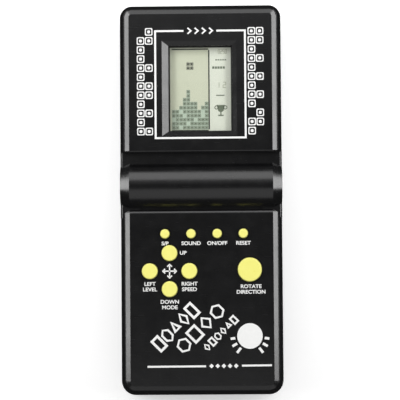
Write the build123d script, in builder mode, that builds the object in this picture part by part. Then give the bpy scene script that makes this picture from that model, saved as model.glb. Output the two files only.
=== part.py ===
from build123d import *
from math import radians, tan
import os

# Handheld LCD game with nine keys, in millimetres. It lies on its back: +Z points out of the screen and
# +Y towards the screen end. The origin is on the back face, in the middle of the outline.

# ---- Driving dimensions -------------------------------------------------------------------------------

# Case: a screen head, a waist with a round barrel across it, and a key panel
head_length = 70.3
waist_length = 26.8
panel_length = 87.9
case_width = 76.7
top_corner = 5.8
bottom_corner = 6.8
edge_round = 4.0
facet_width = 4.4
facet_tilt = 22.5
crease_round = 0.5
back_round = 3.5
head_lip = 1.0
panel_lip = 2.2
wall = 2.0
split_z = 13.0
barrel_below_head = 15.7
barrel_radius = 12.5
barrel_rise = 5.0
valley_drop = 1.0
groove_width = 0.9
groove_slot_length = 58.0
groove_slot_width = 1.4
groove_slot_depth = 1.2
waist_overlap = 4.0
waist_round = 1.2

# Tongue of the back shell in the rebate of the front shell
tongue_inset = 1.0
tongue_height = 1.2
tongue_gap = 0.1

# Battery bay and its door, behind the barrel
cell_diameter = 14.5
cell_body_length = 49.4
nub_diameter = 5.5
nub_length = 1.1
cell_gap = 0.2
cell_spacing = 0.7
bay_length = 56.8
bay_below_head = 15.7
bay_wall = 2.2
bay_roof = 1.0
door_thickness = 1.6
door_ledge = 1.0
door_gap = 0.25
door_corner = 1.5
tongue_tab_width = 8.0
tongue_tab_spacing = 30.0
tongue_tab_reach = 2.5
tongue_tab_bottom = 0.6
tongue_slot_skin = 0.5
tongue_slot_top = 3.4
snap_width = 12.0
snap_length = 7.0
snap_slot = 0.8
nail_notch_radius = 6.0
nail_notch_depth = 1.2
grip_groove_depth = 0.4
grip_groove_width = 1.2
grip_groove_pitch = 2.6
grip_groove_length = 16.0
grip_groove_start = 3.0
grip_groove_count = 4
door_play = 0.1

# Battery contacts
plate_thickness = 0.4
plate_width = 11.0
plate_height = 12.0
spring_wire = 0.7
spring_radius = 4.6
spring_turns = 4
spring_taper = 18.0
plate_corner = 1.5
cell_round = 0.8
tab_width = 2.0
tab_reach = 1.2
positive_tab_rise = 4.0
negative_tab_rise = 1.0
tab_play = 0.1

# Board
board_thickness = 1.6
board_gap = 0.3
board_head_width = 49.0
board_key_width = 61.0
board_head_margin = 7.8
board_shoulder_drop = 8.0
board_foot_margin = 12.1
post_radius = 2.5
post_inset = 3.0
post_foot_inset = 3.4
head_post_clearance = 1.2
panel_post_clearance = 0.7
board_screw_radius = 1.0
board_screw_length = 5.0
board_screw_head_radius = 1.9
board_screw_head = 1.3
screw_play = 0.05
pilot_clearance = 1.0

# Display, from the board outwards
reflector_gap = 0.2
reflector_thickness = 0.3
glass_thickness = 1.1
polariser_thickness = 0.2
window_gap = 0.3
window_thickness = 1.0
window_rim = 2.0
bevel_depth = 1.4
screen_above_foot = 30.4
view_width = 30.4
view_height = 40.8
bevel_width = 35.4
bevel_shift = -0.5
bevel_height = 45.2
window_margin = 1.7
glass_width = 35.0
front_glass_height = 47.0
rear_glass_height = 41.0
polariser_width = 32.0
polariser_height = 41.0
glass_play = 0.2
rib_thickness = 1.5
zebra_width = 1.8
zebra_length = 34.0

# Keys
key_travel = 1.0
key_play = 0.05
key_gap = 0.25
flange_thickness = 0.95
flange_overhang = 1.1
cap_proud = 1.5
cap_round = 0.5
collar_wall = 0.8
collar_height = 1.6
web_thickness = 0.6
dome_height = 2.0
dome_wall = 0.5
pill_thickness = 0.4
pill_gap = 0.1
dome_spread = 0.2
dome_taper = 0.65
mat_margin = 0.2
mat_corner = 2.0
function_cap = 4.4
function_first_x = -17.3
function_pitch = 12.35
function_below_panel = 11.7
direction_cap = 7.45
direction_x = -15.2
mat_gap = 0.175
direction_reach_x = 9.35
direction_reach_y = 8.5
rotate_cap = 11.3
rotate_x = 22.7
rotate_below_panel = 28.8

# Case screws
case_screw_x = 31.6
case_screw_end = 7.5
boss_radius = 4.0
boss_clearance = 1.1
front_boss_radius = 3.2
case_screw_radius = 1.25
case_screw_length = 11.0
case_screw_head_radius = 2.5
case_screw_head = 2.0
well_radius = 2.8
well_depth = 8.0

# Buzzer
buzzer_above_end = 30.5
buzzer_radius = 13.5
buzzer_thickness = 0.25
ceramic_radius = 10.0
ceramic_thickness = 0.2
buzzer_seat = 0.6
buzzer_rim = 2.0
buzzer_rim_wall = 1.2
sound_hole_radius = 0.9
sound_hole_pitch = 3.2
buzzer_play = 0.2

# Leads and small electronic parts
lead_radius = 0.6
lead_bend = 1.5
lead_run = 1.8
lead_drop = 2.6
lead_inset = 4.5
lead_spacing = 2.4
buzzer_lead_lift = 5.0
buzzer_lead_inset = 5.0
centre_lead_at = (4.0, 2.0)
edge_lead_at = (-8.8, 7.6)
blob_above_keys = 2.0
blob_radius = 7.0
blob_height = 1.8
blob_round = 1.5
capacitor_x = -21.0
capacitor_above_keys = 12.0
capacitor_radius = 2.5
capacitor_height = 7.0
capacitor_round = 0.4
capacitor_neck = 1.6
disc_x = -21.0
disc_pitch = 6.0
disc_width = 4.0
disc_thickness = 2.0
disc_height = 4.5
resistor_x = 18.0
resistor_pitch = 4.0
resistor_count = 4
resistor_length = 6.3
resistor_radius = 1.2
transistor_x = -12.0
transistor_below_keys = 12.0
transistor_radius = 2.3
transistor_height = 5.0

# ---- Places worked out from them ----------------------------------------------------------------------

case_length = head_length + waist_length + panel_length
top_y = case_length / 2
bottom_y = -case_length / 2
foot_y = top_y - head_length
panel_y = foot_y - waist_length
side_x = case_width / 2

cell_pitch = cell_diameter + cell_spacing
cell_z = door_thickness + cell_gap + cell_diameter / 2
bay_roof_z = door_thickness + 2 * cell_gap + cell_diameter
board_bottom = bay_roof_z + bay_roof + board_gap
board_top = board_bottom + board_thickness

dome_bottom = board_top + web_thickness
flange_bottom = dome_bottom + dome_height
flange_top = flange_bottom + flange_thickness
panel_z = flange_top + key_play + wall
valley_z = panel_z - valley_drop
barrel_z = panel_z + barrel_rise
barrel_y = foot_y - barrel_below_head

reflector_z = board_top + reflector_gap
rear_glass_z = reflector_z + reflector_thickness
front_glass_z = rear_glass_z + glass_thickness
polariser_z = front_glass_z + glass_thickness
window_z = polariser_z + polariser_thickness + window_gap
rim_z = window_z + window_thickness
bevel_z = rim_z + window_rim
head_z = bevel_z + bevel_depth
screen_y = foot_y + screen_above_foot

bay_y = foot_y - bay_below_head
bay_depth = 2 * cell_pitch
door_width = bay_length + 2 * door_ledge
door_height = bay_depth + 2 * door_ledge
door_top_y = bay_y + door_height / 2
door_foot_y = bay_y - door_height / 2
buzzer_y = bottom_y + buzzer_above_end

function_y = panel_y - function_below_panel
mat_reach = flange_overhang + dome_spread + mat_margin
mats_between = (function_cap + direction_cap) / 2 + 2 * mat_reach + mat_gap
direction_y = function_y - mats_between - direction_reach_y
rotate_y = panel_y - rotate_below_panel

# Each key: its centre, its cap's diameter and the mat that it works on
keys = {
    "up": (direction_x, direction_y + direction_reach_y, direction_cap, "direction"),
    "down": (direction_x, direction_y - direction_reach_y, direction_cap, "direction"),
    "left": (direction_x - direction_reach_x, direction_y, direction_cap, "direction"),
    "right": (direction_x + direction_reach_x, direction_y, direction_cap, "direction"),
    "rotate": (rotate_x, rotate_y, rotate_cap, "rotate"),
}
for place, name in enumerate(("start", "sound", "power", "reset")):
    keys[name] = (function_first_x + place * function_pitch, function_y, function_cap, "function")

bay_head_y = bay_y + bay_depth / 2 + bay_wall
bay_foot_y = bay_y - bay_depth / 2 - bay_wall
middle_screw_y = bay_head_y + boss_radius + boss_clearance
case_screw_places = [
    (side * case_screw_x, y)
    for side in (-1, 1)
    for y in (top_y - case_screw_end, middle_screw_y, bottom_y + case_screw_end)
]
board_head_y = screen_y + front_glass_height / 2 + board_head_margin
board_shoulder_y = foot_y - board_shoulder_drop
board_foot_y = direction_y - direction_reach_y - board_foot_margin
head_post_x = board_head_width / 2 - post_inset
panel_post_x = board_key_width / 2 - post_inset
post_places = [
    (side * x, y)
    for side in (-1, 1)
    for x, y in (
        (head_post_x, board_head_y - post_inset),
        (head_post_x, bay_head_y + board_screw_head_radius + head_post_clearance),
        (panel_post_x, bay_foot_y - board_screw_head_radius - panel_post_clearance),
        (panel_post_x, board_foot_y + post_foot_inset),
    )
]

blob_y = direction_y + blob_above_keys
capacitor_at = (capacitor_x, direction_y + capacitor_above_keys)
disc_places = [(disc_x, direction_y), (disc_x, direction_y - disc_pitch)]
resistor_places = [(resistor_x, direction_y - row * resistor_pitch) for row in range(resistor_count)]
transistor_at = (transistor_x, direction_y - transistor_below_keys)


def save(piece: BuildPart, name: str):
    """Labels a finished piece and writes it as a node of that name."""
    piece.part.label = name
    export_step(piece.part, f"parts/{name}.step")


# ---- Shapes of the case -------------------------------------------------------------------------------


def case_outline(inset: float = 0.0) -> Sketch:
    """Outline of the case seen from the front, drawn in from the outside by inset."""
    with BuildSketch() as outline:
        Rectangle(case_width - 2 * inset, case_length - 2 * inset)
        fillet(outline.vertices().group_by(Axis.Y)[0], bottom_corner - inset)
        fillet(outline.vertices().group_by(Axis.Y)[-1], top_corner - inset)
    return outline.sketch


def facet(inset: float) -> tuple[float, float]:
    """Width and drop of the sloping band along the case's upper edge, drawn in by inset."""
    width = facet_width - inset + inset * tan(radians(facet_tilt / 2))
    return width, width * tan(radians(facet_tilt))


def plateau(inset: float, cut_y: float, upwards: bool, top: float, lip: float) -> Part:
    """The raised end of the case beyond cut_y, with a sloping band along its rim and a lip at the cut."""
    reach = case_length / 2 + abs(cut_y)
    width, drop = facet(inset)
    round_radius = max(edge_round - inset, crease_round)
    with BuildPart() as block:
        with BuildSketch(Plane.XY.offset(split_z)):
            add(case_outline(inset))
            with Locations((0, cut_y)):
                across = Align.MIN if upwards else Align.MAX
                Rectangle(2 * case_width, reach, align=(Align.CENTER, across), mode=Mode.INTERSECT)
        extrude(amount=top - split_z)
        top_face = block.faces().sort_by(Axis.Z)[-1]
        rim = top_face.edges().filter_by(lambda edge: abs(edge.center().Y - cut_y) > lip)
        chamfer(rim, length=width, length2=drop, reference=top_face)
        brow = block.edges().filter_by(lambda edge: abs(edge.center().Z - top + drop) < drop / 10)
        fillet(brow.filter_by(lambda edge: abs(edge.center().Y - cut_y) > lip), round_radius)
        cut_face = block.faces().filter_by(Axis.Y).sort_by(Axis.Y)[0 if upwards else -1]
        fillet(cut_face.edges().sort_by(Axis.Z)[-5:], lip)
    return block.part


def barrel(inset: float) -> Part:
    """The round barrel across the waist, cut off above the groove in front of the key panel."""
    centre_z = barrel_z - barrel_radius
    radius = barrel_radius - inset
    end_x = side_x - inset
    width, drop = facet(inset)
    low_y = panel_y + groove_width + inset
    with BuildPart() as block:
        with BuildSketch(Plane.XZ.offset(-barrel_y)) as profile:
            with BuildLine():
                Polyline(
                    (-end_x, centre_z),
                    (-end_x, centre_z + radius - drop),
                    (width - end_x, centre_z + radius),
                    (end_x - width, centre_z + radius),
                    (end_x, centre_z + radius - drop),
                    (end_x, centre_z),
                    close=True,
                )
            make_face()
            shoulder_z = centre_z + radius - drop
            shoulders = profile.vertices().filter_by(lambda corner: abs(corner.Z - shoulder_z) < drop / 10)
            fillet(shoulders, max(edge_round - inset, crease_round))
        revolve(axis=Axis((0, barrel_y, centre_z), (1, 0, 0)))
        with BuildSketch(Plane.XY.offset(split_z)):
            with Locations((0, low_y)):
                Rectangle(case_width, 4 * radius, align=(Align.CENTER, Align.MIN))
        extrude(amount=barrel_z, mode=Mode.INTERSECT)
    return block.part


def waist(inset: float) -> Part:
    """The low floor that the barrel, the head and the key panel rise from."""
    with BuildPart() as block:
        with BuildSketch(Plane.XY.offset(split_z)):
            with Locations((0, (foot_y + panel_y) / 2)):
                Rectangle(case_width - 2 * inset, waist_length + 2 * waist_overlap)
        extrude(amount=valley_z - inset - split_z)
        top_edges = block.faces().sort_by(Axis.Z)[-1].edges().filter_by(Axis.Y)
        fillet(top_edges, waist_round)
    return block.part


def front_form(inset: float = 0.0) -> Part:
    """The front half of the case as one solid, or its hollow when inset is the wall."""
    with BuildPart() as form:
        add(plateau(inset, foot_y + inset, True, head_z - inset, head_lip))
        add(plateau(inset, panel_y - inset, False, panel_z - inset, panel_lip - inset / 2))
        add(waist(inset))
        add(barrel(inset))
    return form.part


def back_room() -> Part:
    """The hollow of the back shell, rounded along its floor."""
    with BuildPart() as room:
        with BuildSketch(Plane.XY.offset(wall)):
            add(case_outline(wall))
        extrude(amount=split_z - wall)
        fillet(room.faces().sort_by(Axis.Z)[0].edges(), back_round - wall)
    return room.part


def rounded_box(width, height, corner, bottom, top, at=(0.0, 0.0), mode=Mode.ADD):
    """Adds or takes away a box with round upright corners, inside a part's block."""
    with BuildSketch(Plane.XY.offset(bottom)) as profile:
        with Locations(at):
            RectangleRounded(width, height, corner)
    extrude(profile.sketch, amount=top - bottom, mode=mode)


def discs(places, radius, bottom, top, mode=Mode.ADD):
    """Adds or takes away equal upright cylinders at places, inside a part's block."""
    with BuildSketch(Plane.XY.offset(bottom)) as profile:
        with Locations(*places):
            Circle(radius)
    extrude(profile.sketch, amount=top - bottom, mode=mode)


# ---- Front shell: head round the display, barrel and key panel, with what holds the parts behind it ----

os.makedirs("parts", exist_ok=True)

head_posts = [place for place in post_places if place[1] > foot_y]
panel_posts = [place for place in post_places if place[1] < panel_y]
head_bosses = [place for place in case_screw_places if place[1] > foot_y]
panel_bosses = [place for place in case_screw_places if place[1] < panel_y]
well_width = glass_width + 2 * (glass_play + rib_thickness)
well_height = front_glass_height + 2 * (glass_play + rib_thickness)
window_width = view_width + 2 * window_margin
window_height = view_height + 2 * window_margin
screen = (0.0, screen_y)

with BuildPart() as front_shell:
    add(front_form())
    add(front_form(wall), mode=Mode.SUBTRACT)
    with BuildSketch(Plane.XY.offset(split_z)):
        add(case_outline(tongue_inset))
    extrude(amount=tongue_height + tongue_gap, mode=Mode.SUBTRACT)

    # Dark slot along the groove between the barrel and the key panel
    with BuildSketch(Plane.XY.offset(valley_z - groove_slot_depth)):
        with Locations((0, panel_y + groove_width / 2)):
            SlotOverall(groove_slot_length, groove_slot_width)
    extrude(amount=panel_z - valley_z + groove_slot_depth, mode=Mode.SUBTRACT)

    # Bosses for the case screws and posts for the board
    discs(head_bosses, front_boss_radius, split_z, head_z - wall / 2)
    discs(panel_bosses, front_boss_radius, split_z, panel_z - wall / 2)
    discs(head_posts, post_radius, board_top, head_z - wall / 2)
    discs(panel_posts, post_radius, board_top, panel_z - wall / 2)
    pilot_top = well_depth + case_screw_length + pilot_clearance
    discs(case_screw_places, case_screw_radius + screw_play, split_z, pilot_top, Mode.SUBTRACT)
    board_pilot_top = board_bottom + board_screw_length + pilot_clearance
    discs(post_places, board_screw_radius + screw_play, board_top, board_pilot_top, Mode.SUBTRACT)

    # Frame behind the display opening: it takes the glass, and the window above it
    rounded_box(well_width, well_height, rib_thickness, rear_glass_z, head_z - wall / 2, screen)
    glass_room = (glass_width + 2 * glass_play, front_glass_height + 2 * glass_play)
    rounded_box(*glass_room, glass_play, rear_glass_z, polariser_z + key_play, screen, Mode.SUBTRACT)
    window_room = (window_width + 2 * glass_play, window_height + 2 * glass_play)
    rounded_box(*window_room, glass_play, polariser_z, rim_z, screen, Mode.SUBTRACT)
    rounded_box(view_width, view_height, glass_play, rim_z, head_z, screen, Mode.SUBTRACT)
    with BuildSketch(Plane.XY.offset(bevel_z)):
        with Locations(screen):
            Rectangle(view_width, view_height)
    with BuildSketch(Plane.XY.offset(head_z)):
        with Locations((bevel_shift, screen_y)):
            Rectangle(bevel_width, bevel_height)
    loft(mode=Mode.SUBTRACT)

    # Guides round the keys' flanges, and the keys' holes
    guide_bottom = flange_top + key_play - collar_height
    for x, y, cap, _ in keys.values():
        flange_radius = cap / 2 + flange_overhang
        discs([(x, y)], flange_radius + key_gap + collar_wall, guide_bottom, panel_z - wall / 2)
    for x, y, cap, _ in keys.values():
        flange_radius = cap / 2 + flange_overhang
        discs([(x, y)], flange_radius + key_gap, guide_bottom, flange_top + key_play, Mode.SUBTRACT)
        discs([(x, y)], cap / 2 + key_gap, guide_bottom, panel_z, Mode.SUBTRACT)
save(front_shell, "front_shell")


# ---- Back shell: tray with the battery bay, the screw wells and the buzzer's seat ------------------------

tab_places = [(side * tongue_tab_spacing / 2, door_top_y) for side in (-1, 1)]
solder_tab_z = {"positive": cell_z + positive_tab_rise, "negative": cell_z + negative_tab_rise}
cell_upper_y = bay_y + cell_pitch / 2
cell_lower_y = bay_y - cell_pitch / 2
bay_end = bay_length / 2

with BuildPart() as back_shell:
    with BuildSketch():
        add(case_outline())
    extrude(amount=split_z)
    fillet(back_shell.faces().sort_by(Axis.Z)[0].edges(), back_round)
    add(back_room(), mode=Mode.SUBTRACT)

    # Tongue that enters the front shell's rebate
    with BuildSketch(Plane.XY.offset(split_z)):
        add(case_outline(tongue_inset + tongue_gap))
        add(case_outline(wall), mode=Mode.SUBTRACT)
    extrude(amount=tongue_height)
    with BuildSketch(Plane.XY.offset(split_z - tongue_height)):
        add(case_outline(tongue_inset + tongue_gap))
        add(case_outline(wall), mode=Mode.SUBTRACT)
    extrude(amount=tongue_height)

    # Battery bay, open at the back, with a recess for the door and slots for its two tongues
    bay_at = (0.0, bay_y)
    bay_outer = (bay_length + 2 * bay_wall, bay_depth + 2 * bay_wall)
    rounded_box(*bay_outer, bay_wall / 2, 0, bay_roof_z + bay_roof, bay_at)
    rounded_box(bay_length, bay_depth, bay_wall / 4, 0, bay_roof_z, bay_at, Mode.SUBTRACT)
    recess = (door_width, door_height)
    rounded_box(*recess, door_corner, 0, door_thickness, bay_at, Mode.SUBTRACT)
    with BuildSketch(Plane.XY.offset(tongue_slot_skin)):
        with Locations(*[(x, y - door_ledge - bay_wall / 2) for x, y in tab_places]):
            slot_reach = door_ledge + bay_wall / 2 + tongue_tab_reach + door_gap
            Rectangle(tongue_tab_width + 2 * door_gap, slot_reach, align=(Align.CENTER, Align.MIN))
    extrude(amount=tongue_slot_top - tongue_slot_skin, mode=Mode.SUBTRACT)

    # Nail notch below the door's catch
    with BuildSketch():
        with Locations((0, door_foot_y)):
            Circle(nail_notch_radius)
            upper = (Align.CENTER, Align.MIN)
            Rectangle(3 * nail_notch_radius, 2 * nail_notch_radius, align=upper, mode=Mode.SUBTRACT)
    extrude(amount=nail_notch_depth, mode=Mode.SUBTRACT)

    # Slots in the bay's end wall for the contacts' solder tabs
    for y, z in ((cell_upper_y, solder_tab_z["positive"]), (cell_lower_y, solder_tab_z["negative"])):
        with BuildSketch(Plane.YZ.offset(bay_end)):
            with Locations((y, z)):
                Rectangle(tab_width + 2 * tab_play, plate_thickness + 2 * tab_play)
        extrude(amount=bay_wall, mode=Mode.SUBTRACT)

    # Bosses with wells for the case screws
    discs(case_screw_places, boss_radius, wall / 2, split_z)
    discs(case_screw_places, well_radius, 0, well_depth, Mode.SUBTRACT)
    discs(case_screw_places, case_screw_radius + screw_play, well_depth, split_z, Mode.SUBTRACT)

    # Round seat for the buzzer, and the holes that its sound leaves by
    seat_z = wall + buzzer_seat
    rim_radius = buzzer_radius + buzzer_play
    discs([(0, buzzer_y)], rim_radius + buzzer_rim_wall, wall / 2, wall + buzzer_rim)
    discs([(0, buzzer_y)], rim_radius, seat_z, wall + buzzer_rim, Mode.SUBTRACT)
    discs([(0, buzzer_y)], buzzer_radius - buzzer_rim_wall, wall, seat_z, Mode.SUBTRACT)
    discs([(0, buzzer_y)], sound_hole_radius, 0, wall, Mode.SUBTRACT)
    with BuildSketch():
        with Locations((0, buzzer_y)):
            for ring in (1, 2):
                with PolarLocations(ring * sound_hole_pitch, 6 * ring):
                    Circle(sound_hole_radius)
    extrude(amount=wall, mode=Mode.SUBTRACT)
save(back_shell, "back_shell")


# ---- Battery door ---------------------------------------------------------------------------------------

with BuildPart() as battery_door:
    door_size = (door_width - 2 * door_gap, door_height - 2 * door_gap)
    rounded_box(*door_size, door_corner - door_gap, 0, door_thickness - door_play, bay_at)
    # Two tongues on the edge that the door turns on
    with BuildSketch(Plane.XY.offset(tongue_tab_bottom)):
        with Locations(*[(x, y - door_gap - door_ledge) for x, y in tab_places]):
            Rectangle(tongue_tab_width, tongue_tab_reach + door_ledge, align=(Align.CENTER, Align.MIN))
    extrude(amount=door_thickness - door_play - tongue_tab_bottom)
    # Springy catch between two slots
    catch_x = (snap_width + snap_slot) / 2
    with BuildSketch():
        with Locations((-catch_x, door_foot_y), (catch_x, door_foot_y)):
            Rectangle(snap_slot, snap_length, align=(Align.CENTER, Align.MIN))
    extrude(amount=door_thickness, mode=Mode.SUBTRACT)
    # Grip grooves above the catch
    groove_centre = door_foot_y + snap_length + grip_groove_start
    with BuildSketch():
        for row in range(grip_groove_count):
            with Locations((0, groove_centre + row * grip_groove_pitch)):
                SlotOverall(grip_groove_length - 2 * row, grip_groove_width)
    extrude(amount=grip_groove_depth, mode=Mode.SUBTRACT)
save(battery_door, "battery_door")


# ---- Display: window, two glasses with their polarisers, and the contact strips ---------------------------

with BuildPart() as screen_window:
    rounded_box(window_width, window_height, glass_play, window_z, rim_z, screen)
save(screen_window, "screen_window")

with BuildPart() as lcd_front_glass:
    rounded_box(glass_width, front_glass_height, glass_play, front_glass_z, polariser_z, screen)
save(lcd_front_glass, "lcd_front_glass")

with BuildPart() as lcd_rear_glass:
    rounded_box(glass_width, rear_glass_height, glass_play, rear_glass_z, front_glass_z, screen)
save(lcd_rear_glass, "lcd_rear_glass")

with BuildPart() as lcd_front_polariser:
    polariser_top = polariser_z + polariser_thickness
    rounded_box(polariser_width, polariser_height, glass_play, polariser_z, polariser_top, screen)
save(lcd_front_polariser, "lcd_front_polariser")

with BuildPart() as lcd_reflector:
    rounded_box(polariser_width, rear_glass_height, glass_play, reflector_z, rear_glass_z, screen)
save(lcd_reflector, "lcd_reflector")

with BuildPart() as zebra_strips:
    zebra_offset = (rear_glass_height + front_glass_height) / 4
    with BuildSketch(Plane.XY.offset(board_top)):
        with Locations((0, screen_y + zebra_offset), (0, screen_y - zebra_offset)):
            Rectangle(zebra_length, zebra_width)
    extrude(amount=front_glass_z - board_top)
save(zebra_strips, "zebra_strips")


# ---- Board ----------------------------------------------------------------------------------------------

with BuildPart() as main_board:
    with BuildSketch(Plane.XY.offset(board_bottom)):
        with Locations((0, board_shoulder_y)):
            Rectangle(board_head_width, board_head_y - board_shoulder_y, align=(Align.CENTER, Align.MIN))
            Rectangle(board_key_width, board_shoulder_y - board_foot_y, align=(Align.CENTER, Align.MAX))
        with Locations(*post_places):
            Circle(board_screw_radius + screw_play, mode=Mode.SUBTRACT)
    extrude(amount=board_thickness)
save(main_board, "main_board")


# ---- Keys: rubber mats with a dome and a carbon pill for each key, and the caps ---------------------------

mats = {}
for x, y, cap, mat in keys.values():
    mats.setdefault(mat, []).append((x, y, cap))

for mat, places in mats.items():
    reach = places[0][2] / 2 + mat_reach
    low_x = min(x for x, _, _ in places) - reach
    high_x = max(x for x, _, _ in places) + reach
    low_y = min(y for _, y, _ in places) - reach
    high_y = max(y for _, y, _ in places) + reach
    middle = ((low_x + high_x) / 2, (low_y + high_y) / 2)
    with BuildPart() as keypad:
        rounded_box(high_x - low_x, high_y - low_y, mat_corner, board_top, dome_bottom, middle)
        for x, y, cap in places:
            dome_base = cap / 2 + flange_overhang + dome_spread
            discs([(x, y)], dome_base - dome_wall, board_top, dome_bottom, Mode.SUBTRACT)
    save(keypad, f"keypad_{mat}")

for name, (x, y, cap, _) in keys.items():
    flange_radius = cap / 2 + flange_overhang
    dome_base = flange_radius + dome_spread
    dome_top = dome_taper * flange_radius
    pill_radius = dome_top - dome_wall
    pill_z = board_top + key_travel + pill_gap
    crown_z = panel_z + cap_proud

    # Dome with the stem that carries the pill
    with BuildPart() as dome:
        with BuildSketch(Plane.XZ.offset(-y)):
            with BuildLine():
                Polyline(
                    (x, flange_bottom),
                    (x + dome_top, flange_bottom),
                    (x + dome_base, dome_bottom),
                    (x + dome_base - dome_wall, dome_bottom),
                    (x + pill_radius, flange_bottom - dome_wall),
                    (x + pill_radius, pill_z + pill_thickness),
                    (x, pill_z + pill_thickness),
                    close=True,
                )
            make_face()
        revolve(axis=Axis((x, y, 0), (0, 0, 1)))
    save(dome, f"dome_{name}")

    with BuildPart() as pill:
        discs([(x, y)], pill_radius, pill_z, pill_z + pill_thickness)
    save(pill, f"pill_{name}")

    # Cap with its flange and a rounded edge
    with BuildPart() as cap_piece:
        discs([(x, y)], flange_radius, flange_bottom, flange_top)
        discs([(x, y)], cap / 2, flange_top, crown_z)
        fillet(cap_piece.edges().group_by(Axis.Z)[-1], cap_round)
    save(cap_piece, f"key_{name}")


# ---- Battery contacts, springs and cells ------------------------------------------------------------------


def contact_plate(side: int, y: float, width: float, tab_z: float | None) -> BuildPart:
    """A contact plate on one end wall of the bay, with a solder tab through the wall if tab_z is set."""
    inner = side * (bay_end - plate_thickness)
    with BuildPart() as plate:
        with BuildSketch(Plane.YZ.offset(inner)) as outline:
            with Locations((y, cell_z)):
                RectangleRounded(width, plate_height, plate_corner)
        extrude(outline.sketch, amount=side * plate_thickness)
        if tab_z is not None:
            with BuildSketch(Plane.YZ.offset(inner)) as tab:
                with Locations((y, tab_z)):
                    Rectangle(tab_width, plate_thickness)
            extrude(tab.sketch, amount=side * (plate_thickness + bay_wall + tab_reach))
    return plate


def contact_spring(side: int, y: float) -> BuildPart:
    """A conical spring from a contact plate to the flat end of a cell."""
    start = side * (bay_end - plate_thickness - spring_wire / 2)
    length = spring_length - spring_wire
    heading = (-side, 0, 0)
    with BuildPart() as spring:
        with BuildLine() as coil:
            Helix(
                pitch=length / spring_turns,
                height=length,
                radius=spring_radius,
                center=(start, y, cell_z),
                direction=heading,
                cone_angle=-spring_taper,
            )
        wire_start = coil.line @ 0
        with BuildSketch(Plane(origin=wire_start, z_dir=coil.line % 0)) as section:
            Circle(spring_wire / 2)
        sweep(section.sketch, path=coil.line, is_frenet=True)
    return spring


cells_length = cell_body_length + nub_length
spring_length = bay_length - 2 * plate_thickness - cells_length
link_width = cell_pitch + plate_width

save(contact_plate(1, cell_upper_y, plate_width, solder_tab_z["positive"]), "contact_positive")
save(contact_plate(1, cell_lower_y, plate_width, solder_tab_z["negative"]), "contact_negative")
save(contact_plate(-1, bay_y, link_width, None), "contact_link")
save(contact_spring(1, cell_lower_y), "spring_negative")
save(contact_spring(-1, cell_upper_y), "spring_link")

# Each cell's flat end meets a spring, and its nub the plate at the other end
for name, y, nub_side in (("cell_upper", cell_upper_y, 1), ("cell_lower", cell_lower_y, -1)):
    nub_face = nub_side * (bay_end - plate_thickness)
    shoulder = nub_face - nub_side * nub_length
    with BuildPart() as cell:
        with BuildSketch(Plane.YZ.offset(shoulder)):
            with Locations((y, cell_z)):
                Circle(cell_diameter / 2)
        extrude(amount=-nub_side * cell_body_length)
        fillet(cell.edges().filter_by(GeomType.CIRCLE), cell_round)
        with BuildSketch(Plane.YZ.offset(shoulder)):
            with Locations((y, cell_z)):
                Circle(nub_diameter / 2)
        extrude(amount=nub_side * nub_length)
    save(cell, name)


# ---- Buzzer ---------------------------------------------------------------------------------------------

with BuildPart() as buzzer_plate:
    discs([(0, buzzer_y)], buzzer_radius, seat_z, seat_z + buzzer_thickness)
save(buzzer_plate, "buzzer_plate")

ceramic_top = seat_z + buzzer_thickness + ceramic_thickness
with BuildPart() as buzzer_ceramic:
    discs([(0, buzzer_y)], ceramic_radius, seat_z + buzzer_thickness, ceramic_top)
save(buzzer_ceramic, "buzzer_ceramic")


# ---- Leads: straight runs joined by round bends -----------------------------------------------------------


def lead(points) -> BuildPart:
    """A round lead through points, with a bend of lead_bend radius at each corner."""
    with BuildPart() as wire:
        with BuildLine() as route:
            FilletPolyline(*points, radius=[lead_bend] * (len(points) - 2))
        with BuildSketch(Plane(origin=route.line @ 0, z_dir=route.line % 0)) as section:
            Circle(lead_radius)
        sweep(section.sketch, path=route.line)
    return wire


tab_end = bay_end + bay_wall + tab_reach
lead_x = tab_end + lead_run
lead_turn_y = function_y - lead_drop
for name, y, step in (("positive", cell_upper_y, 0), ("negative", cell_lower_y, 1)):
    z = solder_tab_z[name]
    rise_x = board_key_width / 2 - lead_inset - step * lead_spacing
    save(
        lead(
            [
                (tab_end, y, z),
                (lead_x, y, z),
                (lead_x, lead_turn_y, z),
                (rise_x, lead_turn_y, z),
                (rise_x, lead_turn_y, board_bottom),
            ]
        ),
        f"lead_{name}",
    )

lift_z = ceramic_top + buzzer_lead_lift
rise_y = board_foot_y + buzzer_lead_inset
for name, (x, above), start_z in (
    ("buzzer_centre", centre_lead_at, ceramic_top),
    ("buzzer_edge", edge_lead_at, seat_z + buzzer_thickness),
):
    foot = buzzer_y + above
    route = [(x, foot, start_z), (x, foot, lift_z), (x, rise_y, lift_z), (x, rise_y, board_bottom)]
    save(lead(route), f"lead_{name}")


# ---- Small parts under the board --------------------------------------------------------------------------

with BuildPart() as chip_blob:
    discs([(0, blob_y)], blob_radius, board_bottom - blob_height, board_bottom)
    fillet(chip_blob.edges().group_by(Axis.Z)[0], blob_round)
save(chip_blob, "chip_blob")

with BuildPart() as electrolytic_capacitor:
    discs([capacitor_at], capacitor_radius, board_bottom - capacitor_height, board_bottom)
    fillet(electrolytic_capacitor.edges().group_by(Axis.Z)[0], capacitor_round)
    with BuildSketch(Plane.XY.offset(board_bottom - capacitor_neck)):
        with Locations(capacitor_at):
            Circle(capacitor_radius)
            Circle(capacitor_radius - capacitor_round, mode=Mode.SUBTRACT)
    extrude(amount=capacitor_round, mode=Mode.SUBTRACT)
save(electrolytic_capacitor, "electrolytic_capacitor")

with BuildPart() as ceramic_capacitors:
    with BuildSketch(Plane.XY.offset(board_bottom - disc_height)):
        with Locations(*disc_places):
            SlotOverall(disc_width, disc_thickness)
    extrude(amount=disc_height)
save(ceramic_capacitors, "ceramic_capacitors")

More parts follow.
